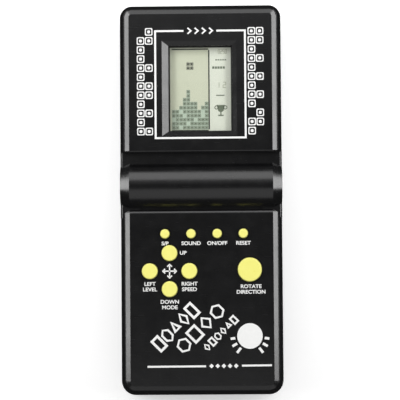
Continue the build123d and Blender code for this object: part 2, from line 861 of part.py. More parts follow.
with BuildPart() as resistors:
    for x, y in resistor_places:
        with BuildSketch(Plane.YZ.offset(x - resistor_length / 2)):
            with Locations((y, board_bottom - resistor_radius)):
                Circle(resistor_radius)
        extrude(amount=resistor_length)
save(resistors, "resistors")

with BuildPart() as transistor:
    with BuildSketch(Plane.XY.offset(board_bottom - transistor_height)):
        with Locations(transistor_at):
            Circle(transistor_radius)
            with Locations((0, transistor_radius / 2)):
                flat = (Align.CENTER, Align.MIN)
                Rectangle(3 * transistor_radius, transistor_radius, align=flat, mode=Mode.SUBTRACT)
    extrude(amount=transistor_height)
save(transistor, "transistor")


# ---- Screws -----------------------------------------------------------------------------------------------


def screws(places, radius, head, seat, length) -> BuildPart:
    """Cross-recessed screws with heads of that radius and height below seat, and tips length above it."""
    head_radius, head_height = head
    with BuildPart() as group:
        discs(places, head_radius, seat - head_height, seat)
        fillet(group.edges().group_by(Axis.Z)[0], head_height / 3)
        discs(places, radius, seat, seat + length)
        chamfer(group.edges().group_by(Axis.Z)[-1], radius / 2)
        with BuildSketch(Plane.XY.offset(seat - head_height)) as recess:
            with Locations(*places):
                Rectangle(1.2 * head_radius, head_radius / 4)
                Rectangle(head_radius / 4, 1.2 * head_radius)
        extrude(recess.sketch, amount=head_height / 2, mode=Mode.SUBTRACT)
    return group


case_screw_head_size = (case_screw_head_radius, case_screw_head)
board_screw_head_size = (board_screw_head_radius, board_screw_head)
save(
    screws(case_screw_places, case_screw_radius, case_screw_head_size, well_depth, case_screw_length),
    "case_screws",
)
save(
    screws(post_places, board_screw_radius, board_screw_head_size, board_bottom, board_screw_length),
    "board_screws",
)
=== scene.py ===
import math

import bmesh
import bpy
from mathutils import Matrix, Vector


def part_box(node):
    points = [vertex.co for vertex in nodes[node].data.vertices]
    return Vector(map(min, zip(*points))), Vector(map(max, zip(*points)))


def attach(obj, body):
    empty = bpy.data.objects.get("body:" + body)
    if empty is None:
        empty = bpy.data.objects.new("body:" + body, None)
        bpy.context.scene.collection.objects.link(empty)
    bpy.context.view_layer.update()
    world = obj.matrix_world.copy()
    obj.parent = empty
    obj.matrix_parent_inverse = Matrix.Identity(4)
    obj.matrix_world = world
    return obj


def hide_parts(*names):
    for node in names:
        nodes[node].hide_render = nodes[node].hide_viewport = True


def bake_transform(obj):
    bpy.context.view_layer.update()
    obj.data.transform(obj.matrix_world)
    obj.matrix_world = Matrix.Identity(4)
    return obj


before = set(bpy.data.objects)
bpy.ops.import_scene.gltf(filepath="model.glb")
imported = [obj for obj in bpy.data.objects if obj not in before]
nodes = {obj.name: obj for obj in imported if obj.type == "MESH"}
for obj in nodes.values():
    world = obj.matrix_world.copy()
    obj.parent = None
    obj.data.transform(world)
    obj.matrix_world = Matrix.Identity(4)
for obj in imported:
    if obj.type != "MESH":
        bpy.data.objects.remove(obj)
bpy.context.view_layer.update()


# ---- Case: front shell, back shell and battery door --------------------------------------------------
# Three mouldings in black ABS. The front shell has a smooth, half-gloss face; the back shell and the
# door have a finer spark-eroded grain. Handling leaves faint scuffs and finger marks.

class Value:
    """A shader value that ordinary Python arithmetic can be written on."""

    def __init__(self, tree, socket):
        self.tree = tree
        self.socket = socket

    def _math(self, operation, first, second=None):
        node = self.tree.nodes.new("ShaderNodeMath")
        node.operation = operation
        for place, item in enumerate((first, second)):
            if isinstance(item, Value):
                self.tree.links.new(item.socket, node.inputs[place])
            elif item is not None:
                node.inputs[place].default_value = item
        return Value(self.tree, node.outputs[0])

    def __add__(self, other):
        return self._math("ADD", self, other)

    def __radd__(self, other):
        return self._math("ADD", other, self)

    def __sub__(self, other):
        return self._math("SUBTRACT", self, other)

    def __rsub__(self, other):
        return self._math("SUBTRACT", other, self)

    def __mul__(self, other):
        return self._math("MULTIPLY", self, other)

    def __truediv__(self, other):
        return self._math("DIVIDE", self, other)

    def __pow__(self, other):
        return self._math("POWER", self, other)

    def above(self, limit):
        return self._math("GREATER_THAN", self, limit)

    def below(self, limit):
        return self._math("LESS_THAN", self, limit)

    def size(self):
        return self._math("ABSOLUTE", self)

    def wrapped(self, length):
        return self._math("PINGPONG", self, length)


class Finish:
    """A material under construction: add() places any node, surface() closes it with a Principled shader."""

    def __init__(self, name):
        self.material = bpy.data.materials.new(name)
        self.material.use_nodes = True
        self.tree = self.material.node_tree
        self.tree.nodes.clear()

    def add(self, kind, settings=None, inputs=None, output=0):
        node = self.tree.nodes.new(kind)
        for key, setting in (settings or {}).items():
            if key == "stops":
                elements = node.color_ramp.elements
                for place, (position, colour) in enumerate(setting):
                    element = elements[place] if place < len(elements) else elements.new(position)
                    element.position = position
                    element.color = colour
            else:
                setattr(node, key, setting)
        for key, item in (inputs or {}).items():
            if isinstance(item, Value):
                self.tree.links.new(item.socket, node.inputs[key])
            else:
                node.inputs[key].default_value = item
        return Value(self.tree, node.outputs[output]) if node.outputs else None

    def place(self):
        return self.add("ShaderNodeTexCoord", output="Object")

    def axes(self):
        split = self.add("ShaderNodeSeparateXYZ", inputs={"Vector": self.place()}).socket.node
        return [Value(self.tree, split.outputs[axis]) for axis in range(3)]

    def noise(self, scale, detail=3.0, roughness=0.5, vector=None):
        inputs = {"Vector": vector or self.place(), "Scale": scale, "Detail": detail, "Roughness": roughness}
        return self.add("ShaderNodeTexNoise", inputs=inputs)

    def mix(self, amount, first, second):
        colour_a, colour_b, colour_result = 6, 7, 2
        node_inputs = {"Factor": amount, colour_a: first, colour_b: second}
        return self.add("ShaderNodeMix", {"data_type": "RGBA"}, node_inputs, output=colour_result)

    def bump(self, height, distance):
        return self.add("ShaderNodeBump", inputs={"Height": height, "Distance": distance})

    def surface(self, colour, roughness, **more):
        inputs = {"Base Color": colour, "Roughness": roughness}
        inputs.update({key.replace("_", " "): item for key, item in more.items()})
        shader = self.add("ShaderNodeBsdfPrincipled", inputs=inputs)
        return self.close(shader)

    def close(self, shader):
        self.add("ShaderNodeOutputMaterial", inputs={"Surface": shader})
        return self.material


def dress(material, *names):
    """Gives a material to CAD nodes."""
    for name in names:
        mesh = nodes[name].data
        mesh.materials.clear()
        mesh.materials.append(material)


def black_abs(name, colour, gloss, grain, scuffs):
    """Moulded black ABS: gloss is its roughness, grain the height of its texture in metres."""
    finish = Finish(name)
    blotches = finish.noise(38.0, detail=4.0)
    smears = finish.noise(160.0, detail=5.0, roughness=0.65)
    pits = finish.noise(2600.0, detail=2.0)
    lighter = tuple(min(1.0, part * 1.7 + 0.002) for part in colour[:3]) + (1.0,)
    scratch_turn, scratch_stretch, scratch_rarity = 0.6, 24.0, 0.71
    mapping = {
        "Vector": finish.place(),
        "Rotation": (0.0, 0.0, scratch_turn),
        "Scale": (1.0, scratch_stretch, scratch_stretch),
    }
    scratch_vector = finish.add("ShaderNodeMapping", inputs=mapping)
    scratches = finish.noise(110.0, detail=2.0, vector=scratch_vector).above(scratch_rarity)
    tint = finish.mix(smears * 0.5, colour, lighter)
    roughness = gloss + (blotches - 0.5) * 0.10 + (smears - 0.5) * 0.12 + scratches * scuffs
    relief = finish.bump(pits + blotches * 2.0, grain)
    return finish.surface(tint, roughness, Specular_IOR_Level=0.8, Normal=relief)


black = (0.0022, 0.0022, 0.0025, 1.0)
dress(black_abs("black_abs_front", black, 0.24, 0.000004, 0.05), "front_shell")
dress(black_abs("black_abs_back", (0.007, 0.007, 0.0075, 1.0), 0.46, 0.000020, 0.08), "back_shell")
dress(black_abs("black_abs_door", (0.0075, 0.0075, 0.008, 1.0), 0.48, 0.000020, 0.10), "battery_door")


# ---- Buzzer ------------------------------------------------------------------------------------------
# A thin brass disc with a ceramic disc fired on it, silvered on its free side. It lies in the back shell's
# round seat, over the sound holes.

def metal(name, colour, worn, gloss, scale):
    """Bare or plated metal, a little duller and darker in patches."""
    finish = Finish(name)
    patches = finish.noise(scale, detail=4.0)
    fine = finish.noise(scale * 12.0, detail=2.0)
    tint = finish.mix(patches * 0.8, colour, worn)
    relief = finish.bump(fine, 0.000003)
    return finish.surface(tint, gloss + (patches - 0.5) * 0.18, Metallic=1.0 - patches * 0.15, Normal=relief)


dress(metal("buzzer_brass", (0.72, 0.52, 0.22, 1.0), (0.48, 0.33, 0.13, 1.0), 0.32, 260.0), "buzzer_plate")
silvered = Finish("silvered_ceramic")
edge_low, edge_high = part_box("buzzer_ceramic")
disc_centre = (edge_low + edge_high) / 2
disc_x, disc_y, _ = silvered.axes()
from_centre = (disc_x - disc_centre.x) ** 2.0 + (disc_y - disc_centre.y) ** 2.0
bare_rim = 0.0008
silver_field = from_centre.below(((edge_high.x - edge_low.x) / 2 - bare_rim) ** 2)
tarnish = silvered.noise(420.0, detail=4.0)
ceramic_colour = silvered.mix(tarnish, (0.78, 0.74, 0.66, 1.0), (0.70, 0.65, 0.56, 1.0))
silver_colour = silvered.mix(tarnish, (0.80, 0.80, 0.78, 1.0), (0.62, 0.60, 0.56, 1.0))
dress(
    silvered.surface(
        silvered.mix(silver_field, ceramic_colour, silver_colour),
        0.5 - silver_field * 0.12 + tarnish * 0.1,
        Metallic=silver_field * 0.9,
    ),
    "buzzer_ceramic",
)


# ---- Battery contacts, springs and cells -------------------------------------------------------------
# Stamped plates and conical springs of nickel-plated steel, pressed against the bay's end walls. The two
# cells are steel cans in a printed sleeve, with a coloured band at the nub's end.

nickel = metal("nickel_plate", (0.66, 0.64, 0.60, 1.0), (0.50, 0.47, 0.42, 1.0), 0.28, 300.0)
dress(nickel, "contact_positive", "contact_negative", "contact_link", "spring_negative", "spring_link")


def cell_sleeve(name, node, nub_side):
    """A printed sleeve that stops short of both ends, where the bare can shows."""
    finish = Finish(name)
    low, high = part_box(node)
    x, _, _ = finish.axes()
    nub_end = high.x if nub_side > 0 else low.x
    depth = (nub_end - x) * float(nub_side)
    band_width, line_depth, line_half = 0.0150, 0.0155, 0.0003
    bare_nub_end, bare_flat_end = 0.0018, 0.0008
    band = depth.below(band_width)
    line = (depth - line_depth).size().below(line_half)
    bare = depth.below(bare_nub_end) + depth.above(high.x - low.x - bare_flat_end)
    rubbed = finish.noise(350.0, detail=5.0, roughness=0.65)
    sleeve = finish.mix(rubbed * 0.4, (0.035, 0.045, 0.060, 1.0), (0.060, 0.075, 0.095, 1.0))
    top = finish.mix(rubbed * 0.4, (0.05, 0.22, 0.36, 1.0), (0.09, 0.28, 0.42, 1.0))
    steel = finish.mix(rubbed, (0.62, 0.61, 0.58, 1.0), (0.48, 0.47, 0.44, 1.0))
    printed_sleeve = finish.mix(line, finish.mix(band, sleeve, top), (0.75, 0.75, 0.72, 1.0))
    return finish.surface(
        finish.mix(bare, printed_sleeve, steel), 0.30 + (rubbed - 0.5) * 0.16, Metallic=bare * 0.95 + 0.05
    )


dress(cell_sleeve("cell_sleeve_upper", "cell_upper", 1), "cell_upper")
dress(cell_sleeve("cell_sleeve_lower", "cell_lower", -1), "cell_lower")


# ---- Board and the small parts under it --------------------------------------------------------------
# A board of brown phenolic paper with a green coat over its copper tracks. The chip sits under a drop of
# black resin; capacitors, resistors and a transistor stand on the back face.

board = Finish("board_laminate")
board_low, board_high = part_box("main_board")
board_x, board_y, board_z = board.axes()
fibres = board.noise(900.0, detail=4.0)
wander = board.noise(60.0, detail=1.0) * 0.006
fine_pitch, wide_pitch, track_reach = 0.00127, 0.00254, 0.00035
tracks_along = (board_x + wander).wrapped(fine_pitch).below(track_reach)
tracks_across = (board_y + wander).wrapped(wide_pitch).below(track_reach)
zones = board.noise(55.0, detail=0.0).above(0.5)
tracks = zones * tracks_along + (1.0 - zones) * tracks_across
coat_thickness = 0.00006
board_middle, board_half = (board_low.z + board_high.z) / 2, (board_high.z - board_low.z) / 2
cut_edge = (board_z - board_middle).size().below(board_half - coat_thickness)
paper = board.mix(fibres, (0.36, 0.22, 0.085, 1.0), (0.46, 0.30, 0.13, 1.0))
coat = board.mix(fibres * 0.4, (0.020, 0.115, 0.045, 1.0), (0.035, 0.150, 0.060, 1.0))
coat_on_copper = board.mix(fibres * 0.4, (0.055, 0.230, 0.075, 1.0), (0.075, 0.270, 0.090, 1.0))
faces = board.mix(tracks, coat, coat_on_copper)
dress(
    board.surface(
        board.mix(cut_edge, faces, paper),
        0.34 + cut_edge * 0.4 + fibres * 0.08,
        Normal=board.bump(tracks, 0.000030),
    ),
    "main_board",
)


def moulded(name, colour, lighter, gloss, scale, depth):
    """A dipped, cast or moulded skin with a slow change of tint and a fine uneven surface."""
    finish = Finish(name)
    patches = finish.noise(scale, detail=4.0)
    fine = finish.noise(scale * 9.0, detail=2.0)
    tint = finish.mix(patches * 0.8, colour, lighter)
    relief = finish.bump(patches + fine * 0.3, depth)
    return finish.surface(tint, gloss + (patches - 0.5) * 0.14, Normal=relief)


dress(
    moulded("chip_resin", (0.006, 0.006, 0.007, 1.0), (0.016, 0.016, 0.017, 1.0), 0.22, 180.0, 0.00006),
    "chip_blob",
)
dress(
    moulded("disc_coating", (0.42, 0.14, 0.022, 1.0), (0.55, 0.21, 0.045, 1.0), 0.38, 420.0, 0.00005),
    "ceramic_capacitors",
)
dress(
    moulded("transistor_case", (0.014, 0.014, 0.015, 1.0), (0.030, 0.030, 0.031, 1.0), 0.55, 700.0, 0.00002),
    "transistor",
)

can_sleeve = Finish("capacitor_sleeve")
can_low, can_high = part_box("electrolytic_capacitor")
can = (can_low + can_high) / 2
can_x, can_y, can_z = can_sleeve.axes()
stripe_from, end_skin, end_radius = 0.28, 0.00012, 0.0019
stripe = (can_x - can.x).above((can_high.x - can_low.x) * stripe_from)
from_axis = (can_x - can.x) ** 2.0 + (can_y - can.y) ** 2.0
can_end = can_z.below(can_low.z + end_skin) * from_axis.below(end_radius ** 2)
creases = can_sleeve.noise(800.0, detail=3.0)
film_blue = can_sleeve.mix(creases * 0.5, (0.012, 0.022, 0.120, 1.0), (0.025, 0.040, 0.170, 1.0))
film_stripe = can_sleeve.mix(creases * 0.5, (0.55, 0.57, 0.60, 1.0), (0.45, 0.47, 0.50, 1.0))
bare_can = can_sleeve.mix(creases, (0.72, 0.72, 0.72, 1.0), (0.60, 0.60, 0.60, 1.0))
dress(
    can_sleeve.surface(
        can_sleeve.mix(can_end, can_sleeve.mix(stripe, film_blue, film_stripe), bare_can),
        0.30 + creases * 0.1,
        Metallic=can_end * 0.95,
        Normal=can_sleeve.bump(creases, 0.000015),
    ),
    "electrolytic_capacitor",
)

bands = Finish("resistor_lacquer")
row_low, row_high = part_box("resistors")
row_x, _, _ = bands.axes()
ring_half = 0.00032
lacquer = bands.noise(600.0, detail=3.0)
shade = bands.mix(lacquer, (0.50, 0.34, 0.18, 1.0), (0.60, 0.43, 0.25, 1.0))
for share, ring_colour in (
    (0.20, (0.16, 0.055, 0.020, 1.0)),
    (0.38, (0.012, 0.012, 0.012, 1.0)),
    (0.56, (0.50, 0.030, 0.020, 1.0)),
    (0.80, (0.50, 0.34, 0.09, 1.0)),
):
    ring_x = row_low.x + (row_high.x - row_low.x) * share
    shade = bands.mix((row_x - ring_x).size().below(ring_half), shade, ring_colour)
dress(bands.surface(shade, 0.36 + lacquer * 0.12, Normal=bands.bump(lacquer, 0.00002)), "resistors")


# ---- Leads -------------------------------------------------------------------------------------------
# Stranded wire in soft PVC: red and black from the battery contacts, and a pair from the buzzer. Each is
# soldered at both ends.

red_pvc = moulded("red_pvc", (0.42, 0.012, 0.012, 1.0), (0.52, 0.030, 0.026, 1.0), 0.42, 500.0, 0.00002)
black_pvc = moulded("black_pvc", (0.012, 0.012, 0.012, 1.0), (0.026, 0.026, 0.026, 1.0), 0.44, 500.0, 0.00002)
dress(red_pvc, "lead_positive", "lead_buzzer_centre")
dress(black_pvc, "lead_negative", "lead_buzzer_edge")


# ---- Rubber mats, domes and pills --------------------------------------------------------------------
# Milky silicone mats lie on the board. Over each pair of contacts a dome stands up to its key's flange,
# with a pill of carbon-filled rubber inside that closes the contact.

milky = moulded("milky_silicone", (0.56, 0.56, 0.53, 1.0), (0.64, 0.64, 0.61, 1.0), 0.52, 320.0, 0.00002)
dome_names = [name for name in nodes if name.startswith("dome_")]
dress(milky, *dome_names, *[name for name in nodes if name.startswith("keypad_")])
dress(
    moulded("carbon_rubber", (0.012, 0.012, 0.012, 1.0), (0.028, 0.028, 0.028, 1.0), 0.66, 900.0, 0.00001),
    *[name for name in nodes if name.startswith("pill_")],
)

# Each dome is copied into a mesh of its own with its coincident vertices welded, and its CAD node is hidden
weld_reach = 0.000001
for name in dome_names:
    low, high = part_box(name)
    middle = (low + high) / 2
    form = bmesh.new()
    form.from_mesh(nodes[name].data)
    bmesh.ops.remove_doubles(form, verts=form.verts, dist=weld_reach)
    mesh = bpy.data.meshes.new("folding_" + name)
    form.to_mesh(mesh)
    form.free()
    mesh.materials.clear()
    mesh.materials.append(milky)
    folding = bpy.data.objects.new("folding_" + name, mesh)
    bpy.context.scene.collection.objects.link(folding)
    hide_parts(name)
    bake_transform(folding)


# ---- Display: clear window, polariser, glasses and reflector -----------------------------------------
# A clear acrylic window is bonded behind the bevelled opening. Under it a polarising film lies on two
# sheets of glass with the liquid crystal between them, and a matt reflector lies behind.

def clear_sheet(name, tint, roughness):
    """A clear sheet: it mirrors a little, more at a low angle, and lets the rest of the light through."""
    finish = Finish(name)
    dust = finish.noise(420.0, detail=3.0)
    through = finish.add("ShaderNodeBsdfTransparent", inputs={"Color": tint})
    white = (1.0, 1.0, 1.0, 1.0)
    mirror = finish.add("ShaderNodeBsdfGlossy", inputs={"Color": white, "Roughness": roughness})
    facing = finish.add("ShaderNodeLayerWeight", inputs={"Blend": 0.5}, output="Facing")
    head_on, at_edge, falloff = 0.035, 0.90, 5.0
    share = head_on + facing ** falloff * at_edge
    return finish.close(
        finish.add("ShaderNodeMixShader", inputs={0: share * (0.85 + dust * 0.3), 1: through, 2: mirror})
    )


def film(name, centre, painted_rim_shade, roughness):
    """A display film, a little lighter in the middle than along its edges: the darker edges are painted
    shade, standing for the shade of the opening's walls.
    """
    finish = Finish(name)
    low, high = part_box("lcd_front_polariser")
    middle = (low + high) / 2
    half = (high - low) / 2
    x, y, _ = finish.axes()
    spread = ((x - middle.x) / half.x) ** 2.0 + ((y - middle.y) / half.y) ** 2.0
    cloud = finish.noise(90.0, detail=2.0)
    # Painted shade: the colour darkens from the middle towards the film's edges
    colour = finish.mix(spread * 0.4 + cloud * 0.25, centre, painted_rim_shade)
    speckle = finish.noise(5200.0, detail=1.0)
    return finish.surface(colour, roughness + (cloud - 0.5) * 0.1, Normal=finish.bump(speckle, 0.000004))


dress(clear_sheet("clear_acrylic", (0.98, 0.985, 0.98, 1.0), 0.04), "screen_window")
dress(clear_sheet("display_glass", (0.93, 0.96, 0.93, 1.0), 0.02), "lcd_front_glass", "lcd_rear_glass")
# Each film's second colour is the painted shade along its edges
dress(film("polarising_film", (0.64, 0.66, 0.52, 1.0), (0.57, 0.59, 0.46, 1.0), 0.42), "lcd_front_polariser")
dress(film("reflector_film", (0.56, 0.57, 0.44, 1.0), (0.50, 0.51, 0.40, 1.0), 0.55), "lcd_reflector")

# The two contact strips are pink silicone with a stack of thin carbon layers through their middle
strips = Finish("contact_strips")
strip_x, strip_y, _ = strips.axes()
strip_low, strip_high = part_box("zebra_strips")
layer_pitch, layer_reach, core_inset, core_half = 0.0001, 0.00005, 0.0009, 0.0003
layers = strip_x.wrapped(layer_pitch).below(layer_reach)
from_middle = (strip_y - (strip_low.y + strip_high.y) / 2).size()
core_place = (strip_high.y - strip_low.y) / 2 - core_inset
core = (from_middle - core_place).size().below(core_half)
silicone = strips.mix(strips.noise(500.0), (0.62, 0.27, 0.33, 1.0), (0.70, 0.34, 0.40, 1.0))
striped = strips.mix(core * layers, silicone, (0.02, 0.02, 0.02, 1.0))
dress(strips.surface(striped, 0.5 + core * 0.1), "zebra_strips")


# ---- Display picture ---------------------------------------------------------------------------------
# The picture is etched in the display's electrodes: a field of square cells, a border line, a bar
# between field and scores, numbers and small cells. It stands a hair above the polarising film.

def rounded_corners(centre, width, height, radius, steps=4):
    """Outline of a rectangle with round corners, anticlockwise, or with sharp ones when radius is 0."""
    x, y = centre
    if not radius:
        steps, radius = 0, 0.0
    points = []
    for corner, (side, end) in enumerate(((1, 1), (-1, 1), (-1, -1), (1, -1))):
        for step in range(steps + 1):
            angle = math.radians(90 * corner + (90 * step / steps if steps else 45))
            points.append(
                (
                    x + side * (width / 2 - radius) + radius * math.cos(angle),
                    y + end * (height / 2 - radius) + radius * math.sin(angle),
                )
            )
    return points


def disc(centre, radius, steps=32):
    """Outline of a disc, anticlockwise from its right-hand point."""
    x, y = centre
    turns = [2 * math.pi * step / steps for step in range(steps)]
    return [(x + radius * math.cos(turn), y + radius * math.sin(turn)) for turn in turns]


def stroke(points, width):
    """Outline of a flat band along a path, mitred at its corners."""
    left, right = [], []
    for place, point in enumerate(points):
        here = Vector(point)
        before = (here - Vector(points[place - 1])).normalized() if place else None
        after = (Vector(points[place + 1]) - here).normalized() if place < len(points) - 1 else None
        heading = ((before or after) + (after or before)).normalized()
        across = Vector((-heading.y, heading.x)) * width / 2 / max(0.4, heading.dot(after or before))
        left.append(tuple(here + across))
        right.append(tuple(here - across))
    return right + left[::-1]


def printed(name, outlines, rings, low, high, material):
    """Flat inked shapes: outlines are filled, and a ring is an outer and an inner outline of equal length."""
    form = bmesh.new()
    for outline in outlines:
        bottom = [form.verts.new((x, y, low)) for x, y in outline]
        top = [form.verts.new((x, y, high)) for x, y in outline]
        form.faces.new(bottom[::-1])
        form.faces.new(top)
        for place in range(len(outline)):
            after = (place + 1) % len(outline)
            form.faces.new((bottom[place], bottom[after], top[after], top[place]))
    for outer, inner in rings:
        low_outer, low_inner, high_outer, high_inner = [
            [form.verts.new((x, y, z)) for x, y in loop] for z in (low, high) for loop in (outer, inner)
        ]
        for place in range(len(outer)):
            after = (place + 1) % len(outer)
            form.faces.new((high_outer[place], high_outer[after], high_inner[after], high_inner[place]))
            form.faces.new((low_inner[place], low_inner[after], low_outer[after], low_outer[place]))
            form.faces.new((low_outer[place], low_outer[after], high_outer[after], high_outer[place]))
            form.faces.new((low_inner[after], low_inner[place], high_inner[place], high_inner[after]))
    bmesh.ops.recalc_face_normals(form, faces=form.faces)
    mesh = bpy.data.meshes.new(name)
    form.to_mesh(mesh)
    form.free()
    mesh.materials.append(material)
    piece = bpy.data.objects.new(name, mesh)
    bpy.context.scene.collection.objects.link(piece)
    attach(piece, "case")


def cell_tree():
    """Node tree that sets a square cell, a ring with a smaller square or disc inside it, on every point."""
    tree = bpy.data.node_groups.new("framed_cells", "GeometryNodeTree")
    sockets = {}
    tree.interface.new_socket("Geometry", in_out="INPUT", socket_type="NodeSocketGeometry")
    for label in ("Side", "Line", "Corner", "Core", "Core corner", "Thickness"):
        socket = tree.interface.new_socket(label, in_out="INPUT", socket_type="NodeSocketFloat")
        sockets[label] = socket.identifier
    socket = tree.interface.new_socket("Ink", in_out="INPUT", socket_type="NodeSocketMaterial")
    sockets["Ink"] = socket.identifier
    tree.interface.new_socket("Geometry", in_out="OUTPUT", socket_type="NodeSocketGeometry")
    given = tree.nodes.new("NodeGroupInput").outputs

    def add(kind, settings=None, **inputs):
        node = tree.nodes.new(kind)
        for key, setting in (settings or {}).items():
            setattr(node, key, setting)
        for key, item in inputs.items():
            socket = node.inputs[key.replace("_", " ")]
            if isinstance(item, bpy.types.NodeSocket):
                tree.links.new(item, socket)
            else:
                socket.default_value = item
        return node.outputs[0]

    def square(side, corner):
        outline = add("GeometryNodeCurvePrimitiveQuadrilateral", Width=side, Height=side)
        rounding = dict(Radius=corner, Count=3, Limit_Radius=True)
        return add("GeometryNodeFilletCurve", {"mode": "POLY"}, Curve=outline, **rounding)

    def join(*parts):
        node = tree.nodes.new("GeometryNodeJoinGeometry")
        for part in parts:
            tree.links.new(part, node.inputs[0])
        return node.outputs[0]

    twice = tree.nodes.new("ShaderNodeMath")
    twice.operation = "MULTIPLY"
    tree.links.new(given["Line"], twice.inputs[0])
    twice.inputs[1].default_value = 2.0
    inside = tree.nodes.new("ShaderNodeMath")
    inside.operation = "SUBTRACT"
    tree.links.new(given["Side"], inside.inputs[0])
    tree.links.new(twice.outputs[0], inside.inputs[1])
    ring = join(square(given["Side"], given["Corner"]), square(inside.outputs[0], given["Corner"]))
    outlines = join(ring, square(given["Core"], given["Core corner"]))
    face = add("GeometryNodeFillCurve", {"mode": "NGONS"}, Curve=outlines)
    raised = add("GeometryNodeExtrudeMesh", Mesh=face, Offset_Scale=given["Thickness"], Individual=False)
    under = add("GeometryNodeFlipFaces", Mesh=face)
    merge_reach = 0.0000005
    cell = add("GeometryNodeMergeByDistance", Geometry=join(raised, under), Distance=merge_reach)
    spread = add("GeometryNodeInstanceOnPoints", Points=given["Geometry"], Instance=cell)
    real = add("GeometryNodeRealizeInstances", Geometry=spread)
    inked = add("GeometryNodeSetMaterial", Geometry=real, Material=given["Ink"])
    output = tree.nodes.new("NodeGroupOutput")
    tree.links.new(inked, output.inputs[0])
    return tree, sockets


framed_cells, cell_sockets = cell_tree()


def cells(name, points, side, line, corner, core, core_corner, thickness, ink):
    """A piece made of one framed cell on each point."""
    seeds = bpy.data.meshes.new(name + "_points")
    seeds.from_pydata(points, [], [])
    holder = bpy.data.objects.new(name + "_points", seeds)
    bpy.context.scene.collection.objects.link(holder)
    modifier = holder.modifiers.new("cells", "NODES")
    modifier.node_group = framed_cells
    sizes = {"Side": side, "Line": line, "Corner": corner, "Core": core, "Core corner": core_corner}
    sizes.update({"Thickness": thickness, "Ink": ink})
    for label, size in sizes.items():
        modifier[cell_sockets[label]] = size
    evaluated = holder.evaluated_get(bpy.context.evaluated_depsgraph_get())
    mesh = bpy.data.meshes.new_from_object(evaluated)
    mesh.name = name
    bpy.data.objects.remove(holder)
    piece = bpy.data.objects.new(name, mesh)
    bpy.context.scene.collection.objects.link(piece)
    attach(piece, "case")


def display_ink(name, dark, light, amount):
    """Switched segments of a display: grey-green and a little uneven, because each switches by itself."""
    finish = Finish(name)
    uneven = finish.noise(700.0, detail=2.0)
    colour = finish.mix(uneven * amount, dark, light)
    return finish.surface(colour, 0.45)


film_low, film_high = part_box("lcd_front_polariser")
window_low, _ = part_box("screen_window")
screen = (film_low + film_high) / 2
picture_z = film_high.z + 0.00002
segment = 0.00004  # thickness of a switched segment
segment_dark = display_ink("segment_dark", (0.014, 0.018, 0.013, 1.0), (0.05, 0.06, 0.045, 1.0), 0.6)
segment_grey = display_ink("segment_grey", (0.13, 0.16, 0.115, 1.0), (0.20, 0.23, 0.16, 1.0), 0.8)
segment_faint = display_ink("segment_faint", (0.33, 0.35, 0.25, 1.0), (0.42, 0.43, 0.31, 1.0), 0.7)

view_width, view_height = 0.0290, 0.0398
field_left = screen.x - view_width / 2 + 0.0008
column_pitch, row_pitch = 0.00174, 0.0019
columns, rows = 10, 20
field_top = screen.y + view_height / 2 - 0.0007
bar_x = field_left + columns * column_pitch + 0.00035
score_left = bar_x + 0.0009
score_right = screen.x + view_width / 2 - 0.0006
score_middle = (score_left + score_right) / 2


def etched(name, outlines, rings, shade):
    """Segments of the picture, just above the polarising film."""
    printed(name, outlines, rings, picture_z, picture_z + segment, shade)


def cell_at(column, row):
    """Centre of a cell of the field, counted from its upper left."""
    return (field_left + (column + 0.5) * column_pitch, field_top - (row + 0.75) * row_pitch, picture_z)


# A heap of landed cells, with a square block on its way down
heap = [
    "....X.....",
    "....X.....",
    "...XX.....",
    "...XXXX..X",
    "..XXXXX.XX",
    "XX.XXXXX.X",
    "XXX.XXXX.X",
    ".XXXXX.XXX",
    "XXXX.XXXXX",
    "XX.XXXXXXX",
]
filled = [
    (column, rows - len(heap) + row)
    for row, line in enumerate(heap)
    for column, mark in enumerate(line)
    if mark == "X"
]
falling = [(column, row) for column in (4, 5) for row in (3, 4)]
cell_sizes = dict(side=0.00148, line=0.00020, corner=0.0, core=0.00078, core_corner=0.0, thickness=segment)
cells("display_heap", [cell_at(*place) for place in filled], ink=segment_grey, **cell_sizes)
cells("display_block", [cell_at(*place) for place in falling], ink=segment_dark, **cell_sizes)

# Behind the heap and behind the scores the film looks a little different, because segments idle there
tint_gap = 0.00004
heap_tint = []
for column in range(columns):
    top_row = min(row for place, row in filled if place == column)
    left, _, _ = cell_at(column, 0)
    height = (rows - top_row) * row_pitch
    tint_y = field_top - (top_row + rows + 0.5) / 2 * row_pitch
    heap_tint.append(rounded_corners((left, tint_y), column_pitch - tint_gap, height, 0))
tint_low, tint_high = film_high.z + 0.000004, film_high.z + 0.000012
idle_heap = display_ink("segments_idle_heap", (0.46, 0.55, 0.45, 1.0), (0.56, 0.64, 0.52, 1.0), 0.7)
printed("display_heap_tint", heap_tint, [], tint_low, tint_high, idle_heap)
score_tint = rounded_corners(
    ((bar_x + screen.x + view_width / 2) / 2, screen.y), screen.x + view_width / 2 - bar_x, view_height, 0
)
idle_score = display_ink("segments_idle_score", (0.76, 0.78, 0.68, 1.0), (0.70, 0.72, 0.63, 1.0), 0.7)
printed("display_score_tint", [score_tint], [], tint_low, tint_high, idle_score)
line_width = 0.0006
field_width = columns * column_pitch
field_x, field_foot = field_left + field_width / 2, field_top - (rows + 0.5) * row_pitch
top_line = rounded_corners((field_x, field_top), field_width, line_width, 0)
side_line = rounded_corners((bar_x, screen.y - 0.0002), line_width, view_height - 0.0018, 0)
foot_line = rounded_corners((field_x, field_foot), field_width, line_width, 0)
etched("display_lines", [top_line, side_line, foot_line], [], segment_dark)

digit_strokes = {"0": "abcdef", "1": "bc", "2": "abged", "5": "afgcd"}


def digit(number, x, y, width, height, line):
    """The strokes of a seven-segment digit whose lower left corner is at x, y."""
    right, middle, top = x + width, y + height / 2, y + height
    paths = {
        "a": ((x, top), (right, top)),
        "b": ((right, top), (right, middle)),
        "c": ((right, middle), (right, y)),
        "d": ((x, y), (right, y)),
        "e": ((x, y), (x, middle)),
        "f": ((x, middle), (x, top)),
        "g": ((x, middle), (right, middle)),
    }
    return [stroke(paths[name], line) for name in digit_strokes[number]]


